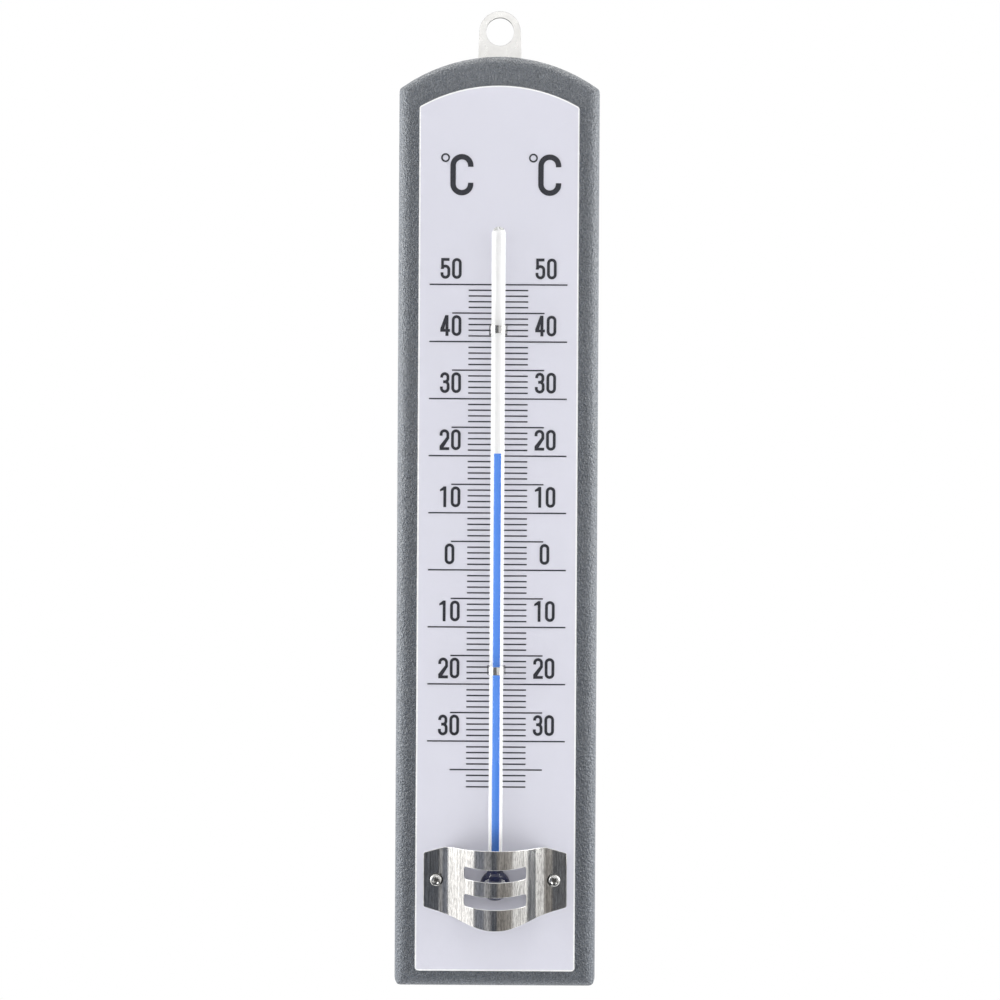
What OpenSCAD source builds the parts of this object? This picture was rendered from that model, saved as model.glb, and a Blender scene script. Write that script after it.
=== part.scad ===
// Garden thermometer: spirit in a glass tube, clipped to a printed plate on a wooden board.
// +X is the reader's right, +Z is up and the scale faces -Y. The origin is the centre of the
// hanging hole, at half the thickness of the hanger. Lengths are in millimetres.

/* [Board] */
// Width of the board
board_w = 82; // [78:1:100]
// Height of the board, from its foot to the crown of its arched top
board_h = 380; // [376:1:420]
// Thickness of the board
board_t = 12; // [11:0.5:18]
// Rise of the arched top above its shoulders
board_arch = 13.5; // [8:0.5:20]
// Radius of the round-over along the front edges
board_edge_r = 5; // [2:0.5:6]
// Radius of the corner at each shoulder, seen from the front
shoulder_r = 4; // [1:0.5:5]
// Radius of the corner at each side of the foot, seen from the front
foot_r = 4; // [1:0.5:6]

/* [Scale plate] */
// Width of the plate
plate_w = 65; // [62:0.5:68]
// Height of the plate, from its foot to the crown of its arched top
plate_h = 360; // [350:1:364]
// Thickness of the plate
plate_t = 0.8; // [0.5:0.1:1.5]
// Rise of the arched top of the plate above its shoulders
plate_arch = 8.7; // [4:0.1:14]
// Radius of each corner of the plate
plate_corner_r = 1.5; // [0.5:0.1:3]
// Crown of the plate below the crown of the board
plate_drop = 12.9; // [8:0.1:14]
// Thickness of the adhesive tape behind the plate
tape_t = 0.25; // [0.1:0.05:0.5]
// Width of each strip of tape
tape_w = 5; // [3:0.5:5.5]
// Each strip of tape inward of the side of the plate
tape_inset = 1; // [0.5:0.1:1.5]
// Each end of the tape inward of the shoulder or foot of the plate
tape_end = 4; // [2:0.5:20]

/* [Printed scale] */
// Height of one degree on the scale
degree_pitch = 2.32; // [2.2:0.01:2.4]
// Zero line below the crown of the plate
zero_drop = 196.9; // [190:0.1:200]
// Highest degree on the scale
top_degree = 50; // [40:10:50]
// Lowest degree on the scale
low_degree = -38; // [-40:1:-30]
// Thickness of a degree line
line_t = 0.53; // [0.3:0.01:0.8]
// Half length of the line at every tenth degree
line_ten = 28; // [25:0.5:30]
// Half length of the line at every fifth degree
line_five = 18.75; // [14:0.25:22]
// Half length of the other lines
line_one = 12.1; // [8:0.1:13]
// Clear strip for the tube, from the centre to the inner end of each line
line_clear = 2; // [0.5:0.1:2.6]
// Height of the figures
figure_h = 8.42; // [6:0.01:10]
// Width of one figure
figure_w = 3.9; // [3:0.05:4.4]
// Thickness of the strokes of a figure
figure_s = 1.15; // [0.7:0.05:1.3]
// Gap between the two figures of a number
figure_gap = 0.75; // [0.4:0.05:1.2]
// Foot of the figures above the centre of their line
figure_lift = 2.3; // [1:0.1:3]
// Middle of each number from the centre of the plate
figure_x = 19.3; // [17:0.1:22]
// Height of the letter of the unit signs
sign_h = 16.8; // [12:0.1:20]
// Width of the letter of the unit signs
sign_w = 9.35; // [7:0.05:10]
// Thickness of the strokes of the letter of the unit signs
sign_s = 2.2; // [1.4:0.1:2.8]
// Height of the opening in the letter of the unit signs
sign_mouth = 6.5; // [4:0.1:8]
// Outer diameter of the degree ring
ring_d = 3.6; // [2.5:0.1:4.5]
// Thickness of the degree ring
ring_s = 0.65; // [0.4:0.05:1]
// Gap between the degree ring and the letter, side to side
ring_gap = 0.2; // [0:0.1:1]
// Crown of the degree ring above the crown of the letter
ring_rise = 0.3; // [0:0.1:1]
// Crown of the letter of the unit signs below the crown of the plate
sign_drop = 27.9; // [24:0.1:32]
// Middle of each unit sign from the middle of the pair
sign_x = 17.85; // [15:0.05:20]
// Middle of the pair of unit signs to the right of the centre of the plate
sign_shift = 0.8; // [0:0.1:1.5]
// Thickness of the ink
ink_t = 0.1; // [0.05:0.05:0.2]

/* [Tube] */
// Outer diameter of the glass stem
tube_d = 5.7; // [5:0.1:6.5]
// Degree at which the closed top of the stem would read
tube_top_degree = 60; // [56:1:63]
// Degree at which the centre of the bulb would read
bulb_degree = -55; // [-56:1:-53]
// Outer diameter of the bulb
bulb_d = 12.4; // [10:0.2:13]
// Thickness of the glass round the bulb
bulb_wall = 0.4; // [0.3:0.1:0.8]
// Radius of the neck between the stem and the bulb
neck_r = 3; // [1:0.5:4]
// Width of the flat bore
bore_w = 1.8; // [1.2:0.1:2]
// Depth of the flat bore, front to back
bore_t = 0.22; // [0.15:0.01:0.3]
// Middle of the bore behind the axis of the stem
bore_back = 0.9; // [0.2:0.1:1]
// Solid glass above the end of the bore
tip_glass = 4; // [3.5:0.5:8]
// Radius of the white enamel strip behind the bore
enamel_r = 1.9; // [1.7:0.05:2]
// Thickness of the white enamel strip
enamel_t = 0.3; // [0.2:0.05:0.4]
// Spread of the enamel strip round the back of the bore, in degrees of turn
enamel_spread = 156; // [90:2:170]
// Temperature that the spirit shows
reading = 20.4; // [-30:0.1:40]

/* [Clips] */
// Degree at which the upper clip sits
upper_clip_degree = 42; // [35:1:48]
// Degree at which the lower clip sits
lower_clip_degree = -17.5; // [-30:0.5:-10]
// Width of the strap, along the tube
clip_w = 3.3; // [2:0.1:5]
// Thickness of the strap
clip_t = 0.45; // [0.3:0.05:0.8]
// Length of the legs behind the face of the plate
clip_leg = 6; // [3:0.5:7]

/* [Bulb guard] */
// Width of the guard over its ears
guard_w = 58.3; // [54:0.1:60]
// Height of the outer edge of each ear
ear_h = 22; // [16:0.1:24]
// Rise from the ear to the straight top edge
guard_rise = 2.4; // [1:0.1:4]
// Fall from the ear to the rounded bottom of the guard
guard_fall = 7.8; // [5:0.1:12]
// Width of the straight top edge
guard_top_w = 41; // [30:0.5:44]
// Radius of the rounded bottom, seen from the front
guard_nose_r = 27; // [14:1:40]
// Thickness of the sheet
guard_t = 0.6; // [0.4:0.1:1]
// Width of the bulge where it leaves the ears
bulge_w = 47; // [42:0.5:48]
// Front of the bulge forward of the plate
bulge_d = 11; // [10.6:0.1:13]
// Radius of the bend from ear to bulge
bend_r = 11.4; // [8:0.1:12]
// Radius of the corners of the ears
ear_r = 1; // [0.5:0.1:2]
// Line of the screws above the centre of the bulb
guard_lift = 1.7; // [0:0.1:2]
// Length of the air slots
slot_w = 25; // [18:0.5:27]
// Height of the air slots
slot_h = 4.9; // [3:0.1:6]
// Distance between the two air slots, middle to middle
slot_pitch = 11; // [9:0.1:12]
// Middle of the pair of air slots below the line of the screws
slot_drop = 2.3; // [1:0.1:3]
// Radius of the corners of the air slots
slot_r = 0.9; // [0.5:0.1:1.4]
// Radius of the gentle downward bow of the air slots
slot_bow_r = 80; // [60:5:300]
// Flat seat pressed in the sheet for each screw, beyond the edge of its head
seat_rim = 0.4; // [0.2:0.1:0.6]

/* [Guard screws] */
// Distance between the two screws
screw_span = 48; // [46:0.5:50]
// Diameter of the shank
screw_d = 2.9; // [2:0.1:3.5]
// Diameter of the head
head_d = 4.9; // [4.5:0.1:6]
// Height of the head
head_h = 1.9; // [1.2:0.1:2.5]
// Length of the screw under its head
screw_l = 10; // [7:0.5:11]
// Length of the point
point_l = 2; // [1:0.5:3]
// Width of the arms of the cross recess
recess_w = 0.85; // [0.5:0.05:1]
// Length of the arms of the cross recess, end to end
recess_l = 3; // [2:0.1:3.4]
// Depth of the cross recess
recess_t = 1.1; // [0.6:0.1:1.2]

/* [Hanger] */
// Width of the hanger at its hole
hanger_w = 17; // [15:0.5:24]
// Width of the hanger at its foot
hanger_foot_w = 20; // [17:0.5:28]
// Length of the hanger below the centre of its hole
hanger_l = 40; // [34:1:60]
// Thickness of the hanger
hanger_t = 1; // [0.6:0.1:1.5]
// Diameter of the hanging hole
hole_d = 11.5; // [6:0.5:12]
// Centre of the hanging hole above the crown of the board
hole_rise = 11.5; // [8:0.5:20]
// Hanger forward of the back of the board, which leaves room for the heads of the nails
hanger_inset = 1; // [0.8:0.1:1.6]
// Diameter of the nails
nail_d = 1.8; // [1.2:0.1:2.4]
// Diameter of the heads of the nails
nail_head_d = 4.2; // [3:0.1:6]
// Thickness of the heads of the nails
nail_head_t = 0.7; // [0.4:0.1:0.8]
// Length of the nails under their heads
nail_l = 8; // [6:0.5:8.5]
// Length of the point of a nail
nail_point = 1.5; // [0.5:0.5:2]
// Distance between the two nails
nail_pitch = 14; // [8:1:14]
// Lower nail above the foot of the hanger
nail_rise = 8; // [5:0.5:10]

/* [Fits] */
// Gap between the stem and the face of the plate
tube_gap = 0.1; // [0.05:0.05:0.3]
// Gap between the stem and the strap of a clip
clip_gap = 0.1; // [0.05:0.05:0.3]
// Gap round a leg of a clip in the plate
leg_gap = 0.25; // [0.1:0.05:0.4]
// Gap round a screw in the guard and the plate
screw_gap = 0.15; // [0.05:0.05:0.3]
// Gap round legs, screws and nails in the wood, and round the nails in the hanger
wood_gap = 0.05; // [0.02:0.01:0.1]
// Gap round the bulb where it enters the plate and the board
bulb_gap = 0.35; // [0.2:0.05:0.6]
// Gap round the hanger in its pocket
hanger_gap = 0.3; // [0.1:0.05:0.6]
// Gap between the spirit or the enamel and the glass
glass_gap = 0.02; // [0.01:0.01:0.03]

/* [Hidden] */
$fn = 96;

// How far a cutter runs past what it cuts
cut = 1;

// Layers from the wall forward
back_y = hanger_t / 2 + hanger_inset;
front_y = back_y - board_t;
plate_back_y = front_y - tape_t;
face_y = plate_back_y - plate_t;
ear_y = face_y - guard_t;

// Heights
board_top = -hole_rise;
board_foot = board_top - board_h;
plate_top = board_top - plate_drop;
plate_foot = plate_top - plate_h;
zero_z = plate_top - zero_drop;
tube_top = degree_z(tube_top_degree);
bulb_z = degree_z(bulb_degree);
level_z = degree_z(reading);
screw_z = bulb_z + guard_lift;
upper_clip_z = degree_z(upper_clip_degree);
lower_clip_z = degree_z(lower_clip_degree);
lower_nail_z = nail_rise - hanger_l;
upper_nail_z = lower_nail_z + nail_pitch;

// Tube, bulb and bore
tube_r = tube_d / 2;
tube_y = face_y - tube_gap - tube_r;
bulb_r = bulb_d / 2;
cavity_r = bulb_r - bulb_wall;
neck_z = sqrt(pow(bulb_r + neck_r, 2) - pow(tube_r + neck_r, 2));
bulb_hole_r = sqrt(bulb_r * bulb_r - pow(tube_r + tube_gap, 2)) + bulb_gap;
bore_top = tube_top - tip_glass;
column_foot = bulb_z + cavity_r + glass_gap;
enamel_foot = bulb_z + neck_z;
enamel_top = tube_top - tube_r / 2;

// Strap of a clip
strap_in = tube_r + clip_gap;
strap_out = strap_in + clip_t;
leg_slot_out = strap_out + leg_gap;

// Centre lines of the bends of the guard
bulge_mid = bulge_d - guard_t / 2;
bulge_rise = bulge_mid - guard_t / 2;
bulge_r = (pow(bulge_w / 2, 2) + bulge_rise * bulge_rise) / (2 * bulge_rise) - bend_r;
bend_centre = [bulge_w / 2, guard_t / 2 + bend_r];
bulge_centre = [0, bulge_mid - bulge_r];

function degree_z(degree) = zero_z + degree * degree_pitch;

function unit(v) = v / norm(v);

// Radius of the arch that rises by a given amount over a given width
function arch_radius(w, rise) = (w * w / 4 + rise * rise) / (2 * rise);

// Points of an arc from one angle to another
function arc(c, r, from, to, steps = 12) =
    [for (i = [0 : steps]) c + r * [cos(from + (to - from) * i / steps),
                                    sin(from + (to - from) * i / steps)]];

// Points that round the corner p between its neighbours a and b, in counterclockwise order
function corner(a, p, b, r) =
    let (
        u = unit(a - p),
        v = unit(b - p),
        half = acos(u * v) / 2,
        c = p + unit(u + v) * r / sin(half),
        start = atan2(u.y, u.x) + 90,
        turn = 180 - 2 * half
    )
    arc(c, r, start, start + turn, 6);

// Half width in reach of a degree line: lines that cross a clip start outside its slots
function crosses(degree, clip_z) =
    abs(degree_z(degree) - clip_z) < (clip_w + line_t) / 2 + leg_gap;
function line_start(degree) =
    crosses(degree, upper_clip_z) || crosses(degree, lower_clip_z)
        ? max(line_clear, leg_slot_out)
        : line_clear;
function line_end(degree) =
    degree % 10 == 0 ? line_ten : degree % 5 == 0 ? line_five : line_one;

// A flat shape in X and height, extruded forward from y
module forward(y, t) {
    translate([0, y, 0]) rotate([90, 0, 0]) linear_extrude(t) children();
}

// Board and plate

// Section of a slab, its back on y = 0 and its two front edges rounded
module slab_section(w, t, r) {
    translate([-w / 2, 0]) square([w, t - r]);
    translate([r - w / 2, 0]) square([w - 2 * r, t]);
    for (side = [-1, 1]) translate([side * (w / 2 - r), t - r]) circle(r);
}

// Outline with an arched top, rounded shoulders and rounded foot corners, crown at height 0
module arched_outline(w, h, rise, shoulder, foot) {
    arch_r = arch_radius(w, rise);
    fillet_x = w / 2 - shoulder;
    fillet_up = sqrt(pow(arch_r - shoulder, 2) - fillet_x * fillet_x);
    reach = 1 + h / (2 * arch_r);
    translate([-w / 2, foot - h]) square([w, h - foot - arch_r + fillet_up]);
    translate([foot - w / 2, -h]) square([w - 2 * foot, h - arch_r]);
    for (side = [-1, 1]) {
        translate([side * (w / 2 - foot), foot - h]) circle(foot);
        translate([side * fillet_x, fillet_up - arch_r]) circle(shoulder);
    }
    translate([0, -arch_r]) intersection() {
        circle(arch_r);
        polygon([[0, 0], reach * [fillet_x, fillet_up], [0, 2 * arch_r],
                 reach * [-fillet_x, fillet_up]]);
    }
}

// Arched disc and straight foot, both with their front edge rounded
module board_ends() {
    arch_r = arch_radius(board_w, board_arch);
    arch_z = board_top - arch_r;
    translate([0, back_y, arch_z]) rotate([90, 0, 0]) rotate_extrude() intersection() {
        slab_section(2 * arch_r, board_t, board_edge_r);
        square([arch_r, board_t]);
    }
    translate([0, back_y, board_foot]) rotate([90, 0, -90])
        linear_extrude(board_w + 2 * cut, center = true) {
            square([board_t - board_edge_r, arch_z - board_foot]);
            translate([0, board_edge_r])
                square([board_t, arch_z - board_foot - board_edge_r]);
            translate([board_t - board_edge_r, board_edge_r]) circle(board_edge_r);
        }
}

module hanger_pocket() {
    depth = hanger_t + hanger_inset;
    forward(back_y + cut, depth + cut)
        polygon([[hanger_w / 2 + hanger_gap, 0], [-hanger_w / 2 - hanger_gap, 0],
                 [-hanger_foot_w / 2 - hanger_gap, -hanger_l - hanger_gap],
                 [hanger_foot_w / 2 + hanger_gap, -hanger_l - hanger_gap]]);
}

// Round hole along Y, forward from y
module hole(x, z, r, y, t) {
    translate([x, y, z]) rotate([90, 0, 0]) cylinder(h = t, r = r);
}

// The four slots for the legs of the clips, from the face of the plate back by t
module leg_slots(gap, t) {
    for (z = [upper_clip_z, lower_clip_z], side = [-1, 1])
        translate([side * (strap_in + strap_out) / 2, face_y + t / 2, z])
            cube([clip_t + 2 * gap, t, clip_w + 2 * gap], center = true);
}

module back_board() {
    color([0.36, 0.39, 0.42]) difference() {
        intersection() {
            board_ends();
            translate([0, back_y, board_foot]) mirror([0, 1, 0])
                linear_extrude(board_h) slab_section(board_w, board_t, board_edge_r);
            translate([0, 0, board_top]) forward(back_y + cut, board_t + 2 * cut)
                arched_outline(board_w, board_h, board_arch, shoulder_r, foot_r);
        }
        hanger_pocket();
        hole(0, bulb_z, bulb_hole_r, tube_y + bulb_r + bulb_gap, board_t);
        for (side = [-1, 1])
            hole(side * screw_span / 2, screw_z, screw_d / 2 + wood_gap,
                 ear_y + screw_l + wood_gap, board_t);
        for (z = [upper_nail_z, lower_nail_z])
            hole(0, z, nail_d / 2 + wood_gap, back_y, hanger_inset + nail_l + wood_gap);
        leg_slots(wood_gap, clip_leg + wood_gap);
    }
}

module scale_plate() {
    color([0.9, 0.9, 0.93]) difference() {
        translate([0, 0, plate_top]) forward(plate_back_y, plate_t)
            arched_outline(plate_w, plate_h, plate_arch, plate_corner_r, plate_corner_r);
        hole(0, bulb_z, bulb_hole_r, plate_back_y + cut, plate_t + 2 * cut);
        for (side = [-1, 1])
            hole(side * screw_span / 2, screw_z, screw_d / 2 + screw_gap,
                 plate_back_y + cut, plate_t + 2 * cut);
        translate([0, -cut, 0]) leg_slots(leg_gap, plate_t + 2 * cut);
    }
}

module plate_tape(side) {
    foot = plate_foot + tape_end;
    top = plate_top - plate_arch - tape_end;
    middle = plate_w / 2 - tape_inset - tape_w / 2;
    color([0.95, 0.94, 0.88])
        translate([side * middle - tape_w / 2, plate_back_y, foot])
            cube([tape_w, tape_t, top - foot]);
}

// Printed scale

module degree_lines(side) {
    color([0.16, 0.16, 0.2])
        for (degree = [low_degree : top_degree]) {
            middle = (line_start(degree) + line_end(degree)) / 2;
            reach = line_end(degree) - line_start(degree);
            translate([side * middle, face_y - ink_t / 2, degree_z(degree)])
                cube([reach, ink_t, line_t], center = true);
        }
}

// Upright shape with round ends
module upright(w, h) {
    translate([0, w / 2]) square([w, h - w]);
    for (y = [w / 2, h - w / 2]) translate([w / 2, y]) circle(w / 2);
}

// Loop with round ends, as in a nought
module loop(w, h, s) {
    difference() {
        upright(w, h);
        translate([s, s]) upright(w - 2 * s, h - 2 * s);
    }
}

// Straight stroke between two points, square at its ends
module stroke(a, b, s) {
    side = [a.y - b.y, b.x - a.x] * s / (2 * norm(b - a));
    polygon([a + side, a - side, b - side, b + side]);
}

// Figures in a cell of figure_w by figure_h, foot on the line
module nought() {
    loop(figure_w, figure_h, figure_s);
}

module one() {
    stem = figure_w * 0.72;
    flag_foot = figure_h * 0.76;
    translate([stem - figure_s, 0]) square([figure_s, figure_h]);
    polygon([[stem, figure_h], [stem - figure_s * 0.8, figure_h],
             [figure_w * 0.06, flag_foot + figure_s * 0.7], [figure_w * 0.06, flag_foot],
             [stem - figure_s, flag_foot + figure_s * 0.35]]);
}

module two() {
    s = figure_s;
    waist = figure_h * 0.62;
    square([figure_w, s]);
    polygon([[0, s * 0.9], [0, s * 1.5], [figure_w - s, waist], [figure_w, waist],
             [figure_w, waist - s * 0.4], [s * 1.35, s * 0.9]]);
    intersection() {
        loop(figure_w, figure_h, s);
        union() {
            translate([0, figure_h - figure_w / 2]) square([figure_w, figure_w]);
            translate([0, figure_h * 0.69]) square([s, figure_h]);
            translate([figure_w / 2, waist]) square([figure_w / 2, figure_h]);
        }
    }
}

// Lower bowl of the three and the five, open at its upper left
module lower_bowl(top) {
    tongue = figure_h * 0.31;
    difference() {
        loop(figure_w, top, figure_s);
        translate([-cut, tongue]) square([cut + figure_w / 2, top]);
    }
}

module three() {
    s = figure_s;
    mid = figure_h * 0.54;
    lower_bowl(mid + s / 2);
    difference() {
        translate([figure_w * 0.03, mid - s / 2])
            loop(figure_w * 0.94, figure_h - mid + s / 2, s);
        translate([-cut, 0]) square([cut + figure_w / 2, figure_h * 0.74]);
    }
    translate([figure_w * 0.33, mid - s / 2]) square([figure_w * 0.3, s]);
}

module four() {
    s = figure_s;
    bar = figure_h * 0.2;
    stem = figure_w * 0.54;
    translate([stem, 0]) square([s * 1.05, figure_h]);
    translate([0, bar]) square([figure_w, s * 0.95]);
    polygon([[0, bar], [0, bar + s * 1.05], [stem - s * 0.1, figure_h],
             [stem + s * 0.5, figure_h], [stem + s * 0.5, figure_h * 0.9], [s * 1.2, bar]]);
}

module five() {
    s = figure_s;
    bowl = figure_h * 0.68;
    shoulder = figure_h * 0.47;
    lower_bowl(bowl);
    intersection() {
        loop(figure_w, bowl, s);
        translate([0, shoulder]) square([figure_w, figure_h]);
    }
    translate([figure_w * 0.06, shoulder]) square([s * 0.95, figure_h - shoulder]);
    translate([figure_w * 0.06, figure_h - s]) square([figure_w * 0.86, s]);
}

module figure(n) {
    if (n == 0) nought();
    if (n == 1) one();
    if (n == 2) two();
    if (n == 3) three();
    if (n == 4) four();
    if (n == 5) five();
}

// One or two figures, their middle on x = 0
module number(n) {
    pair_w = 2 * figure_w + figure_gap;
    if (n == 0) translate([-figure_w / 2, 0]) nought();
    if (n > 0) {
        translate([-pair_w / 2, 0]) figure(n / 10);
        translate([pair_w / 2 - figure_w, 0]) nought();
    }
}

module scale_figures(side) {
    color([0.16, 0.16, 0.2])
        for (degree = [ceil(low_degree / 10) * 10 : 10 : top_degree])
            translate([side * figure_x, 0, degree_z(degree) + figure_lift])
                forward(face_y, ink_t) number(abs(degree));
}

// Degree ring and letter, their middle on x = 0 and the crown of the letter at height 0
module sign_shape() {
    sign_all = ring_d + ring_gap + sign_w;
    translate([(ring_d - sign_all) / 2, ring_rise - ring_d / 2]) difference() {
        circle(ring_d / 2);
        circle(ring_d / 2 - ring_s);
    }
    translate([sign_all / 2 - sign_w, -sign_h]) difference() {
        loop(sign_w, sign_h, sign_s);
        translate([sign_w / 2, (sign_h - sign_mouth) / 2]) square([sign_w, sign_mouth]);
    }
}

module unit_sign(side) {
    color([0.13, 0.13, 0.17])
        translate([sign_shift + side * sign_x, 0, plate_top - sign_drop])
            forward(face_y, ink_t) sign_shape();
}

// Tube

// Half section of the glass: stem, closed top, bulb and the neck between them
module glass_section() {
    intersection() {
        union() {
            translate([0, bulb_z]) circle(bulb_r);
            translate([0, bulb_z]) square([tube_r, tube_top - tube_r - bulb_z]);
            translate([0, tube_top - tube_r]) circle(tube_r);
            difference() {
                polygon([[0, bulb_z], [tube_r + neck_r, bulb_z + neck_z],
                         [0, bulb_z + neck_z]]);
                translate([tube_r + neck_r, bulb_z + neck_z]) circle(neck_r);
            }
        }
        translate([0, bulb_z - bulb_r]) square([bulb_r, tube_top - bulb_z + bulb_r]);
    }
}

// Flat bore or the spirit in it, smaller by gap all round
module flat_bore(gap) {
    w = bore_w - 2 * gap;
    t = bore_t - 2 * gap;
    translate([0, bore_back]) {
        square([w - t, t], center = true);
        for (side = [-1, 1]) translate([side * (w - t) / 2, 0]) circle(t / 2);
    }
}

// Part of a ring behind the bore, thinner by gap all round
module enamel_section(gap) {
    half = enamel_spread / 2 - gap;
    reach = 2 * enamel_r;
    intersection() {
        difference() {
            circle(enamel_r + enamel_t / 2 - gap);
            circle(enamel_r - enamel_t / 2 + gap);
        }
        polygon([[0, 0], reach * [sin(half), cos(half)], reach * [1, 1],
                 reach * [-1, 1], reach * [-sin(half), cos(half)]]);
    }
}

module glass_tube() {
    color([0.85, 0.93, 0.97, 0.4]) translate([0, tube_y, 0]) difference() {
        rotate_extrude() glass_section();
        translate([0, 0, bulb_z]) sphere(cavity_r);
        translate([0, 0, bulb_z + cavity_r / 2])
            linear_extrude(bore_top - bulb_z - cavity_r / 2) flat_bore(0);
        translate([0, 0, enamel_foot])
            linear_extrude(enamel_top - enamel_foot) enamel_section(0);
    }
}

module enamel_strip() {
    color([1, 1, 0.99]) translate([0, tube_y, enamel_foot + glass_gap])
        linear_extrude(enamel_top - enamel_foot - 2 * glass_gap) enamel_section(glass_gap);
}

module spirit_reservoir() {
    color([0.05, 0.08, 0.3]) translate([0, tube_y, bulb_z]) sphere(cavity_r - glass_gap);
}

module spirit_column() {
    color([0.25, 0.5, 0.95]) translate([0, tube_y, column_foot])
        linear_extrude(level_z - column_foot) flat_bore(glass_gap);
}

// Clips

module clip(z) {
    leg = face_y + clip_leg - tube_y;
    color([0.8, 0.8, 0.8]) translate([0, tube_y, z - clip_w / 2]) linear_extrude(clip_w) {
        difference() {
            circle(strap_out);
            circle(strap_in);
            translate([-strap_out - cut, 0]) square([2 * (strap_out + cut), strap_out + cut]);
        }
        for (x = [-strap_out, strap_in]) translate([x, 0]) square([clip_t, leg]);
    }
}

// Bulb guard

// Bent sheet as a section in X and forward distance from the plate
module guard_section() {
    toward_bulge = unit(bulge_centre - bend_centre);
    bend_reach = 2 * (bend_r + guard_t);
    bulge_reach = 3 * (bulge_r + guard_t);
    ear = (guard_w - bulge_w) / 2;
    for (side = [0, 1]) mirror([side, 0]) {
        translate([bulge_w / 2, 0]) square([ear, guard_t]);
        translate(bend_centre) intersection() {
            difference() {
                circle(bend_r + guard_t / 2);
                circle(bend_r - guard_t / 2);
            }
            polygon([[0, 0], bend_reach * toward_bulge, [0, -bend_reach]]);
        }
    }
    translate(bulge_centre) intersection() {
        difference() {
            circle(bulge_r + guard_t / 2);
            circle(bulge_r - guard_t / 2);
        }
        polygon([[0, 0], -bulge_reach * toward_bulge, [0, bulge_reach],
                 bulge_reach * [toward_bulge.x, -toward_bulge.y]]);
    }
}

// Outline of the guard seen from the front, height 0 on the line of the screws
module guard_outline() {
    ear_x = guard_w / 2;
    top_x = guard_top_w / 2;
    top = ear_h / 2 + guard_rise;
    low_ear = [ear_x, -ear_h / 2];
    high_ear = [ear_x, ear_h / 2];
    nose = [0, guard_nose_r - ear_h / 2 - guard_fall];
    to_ear = low_ear - nose;
    nose_end = atan2(to_ear.y, to_ear.x) - acos(guard_nose_r / norm(to_ear));
    nose_touch = nose + guard_nose_r * [cos(nose_end), sin(nose_end)];
    right = concat(
        corner(nose_touch, low_ear, high_ear, ear_r),
        corner(low_ear, high_ear, [top_x, top], ear_r),
        [[top_x, top]]
    );
    left = [for (i = [len(right) - 1 : -1 : 0]) [-right[i].x, right[i].y]];
    polygon(concat(arc(nose, guard_nose_r, -180 - nose_end, nose_end), right, left));
}

// Slot whose long edges are arcs about one centre above it, with rounded corners
module air_slot() {
    turn = asin(slot_w / (2 * slot_bow_r));
    low = arc([0, slot_bow_r], slot_bow_r + slot_h / 2, -90 - turn, turn - 90);
    high = arc([0, slot_bow_r], slot_bow_r - slot_h / 2, turn - 90, -90 - turn);
    last = len(low) - 1;
    polygon(concat(
        [for (i = [1 : last - 1]) low[i]],
        corner(low[last - 1], low[last], high[0], slot_r),
        corner(low[last], high[0], high[1], slot_r),
        [for (i = [1 : last - 1]) high[i]],
        corner(high[last - 1], high[last], low[0], slot_r),
        corner(high[last], low[0], low[1], slot_r)
    ));
}

// Sheet cut to its outline, with a flat seat for the head of each screw
module guard_sheet() {
    high = ear_h + 2 * guard_fall;
    seat_r = head_d / 2 + seat_rim;
    difference() {
        intersection() {
            translate([0, face_y, screw_z - high / 2]) mirror([0, 1, 0])
                linear_extrude(high) guard_section();
            translate([0, 0, screw_z]) forward(face_y + cut, bulge_d + 2 * cut)
                guard_outline();
        }
        for (side = [-1, 1])
            hole(side * screw_span / 2, screw_z, seat_r, ear_y, bulge_d);
    }
    for (side = [-1, 1])
        translate([side * screw_span / 2, 0, screw_z])
            forward(face_y, guard_t) circle(seat_r);
}

module bulb_guard() {
    color([0.72, 0.72, 0.7]) difference() {
        guard_sheet();
        for (side = [-1, 1])
            translate([0, 0, screw_z - slot_drop + side * slot_pitch / 2])
                forward(face_y + cut, bulge_d + 2 * cut) air_slot();
        for (side = [-1, 1])
            hole(side * screw_span / 2, screw_z, screw_d / 2 + screw_gap,
                 face_y + cut, guard_t + 2 * cut);
    }
}

// Guard screws

// Low domed head with a flat underside, as a half section
module head_section() {
    rim = head_h * 0.45;
    dome_r = arch_radius(head_d, head_h - rim);
    intersection() {
        square([head_d / 2, head_h]);
        translate([0, head_h - dome_r]) circle(dome_r);
    }
}

module cross_head_screw(x, turn) {
    color([0.85, 0.85, 0.83]) translate([x, ear_y, screw_z]) rotate([90, turn, 0]) {
        difference() {
            rotate_extrude() head_section();
            for (arm = [0, 90]) rotate([0, 0, arm])
                translate([0, 0, head_h]) cube([recess_l, recess_w, 2 * recess_t], center = true);
        }
        translate([0, 0, point_l - screw_l]) cylinder(h = screw_l - point_l, d = screw_d);
        translate([0, 0, -screw_l]) cylinder(h = point_l, d1 = screw_d / 10, d2 = screw_d);
    }
}

// Hanger and its nails

module hanger() {
    color([0.86, 0.85, 0.82]) difference() {
        forward(hanger_t / 2, hanger_t) {
            circle(hanger_w / 2);
            polygon([[hanger_w / 2, 0], [-hanger_w / 2, 0],
                     [-hanger_foot_w / 2, -hanger_l], [hanger_foot_w / 2, -hanger_l]]);
        }
        hole(0, 0, hole_d / 2, hanger_t, 2 * hanger_t);
        for (z = [upper_nail_z, lower_nail_z])
            hole(0, z, nail_d / 2 + wood_gap, hanger_t, 2 * hanger_t);
    }
}

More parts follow.
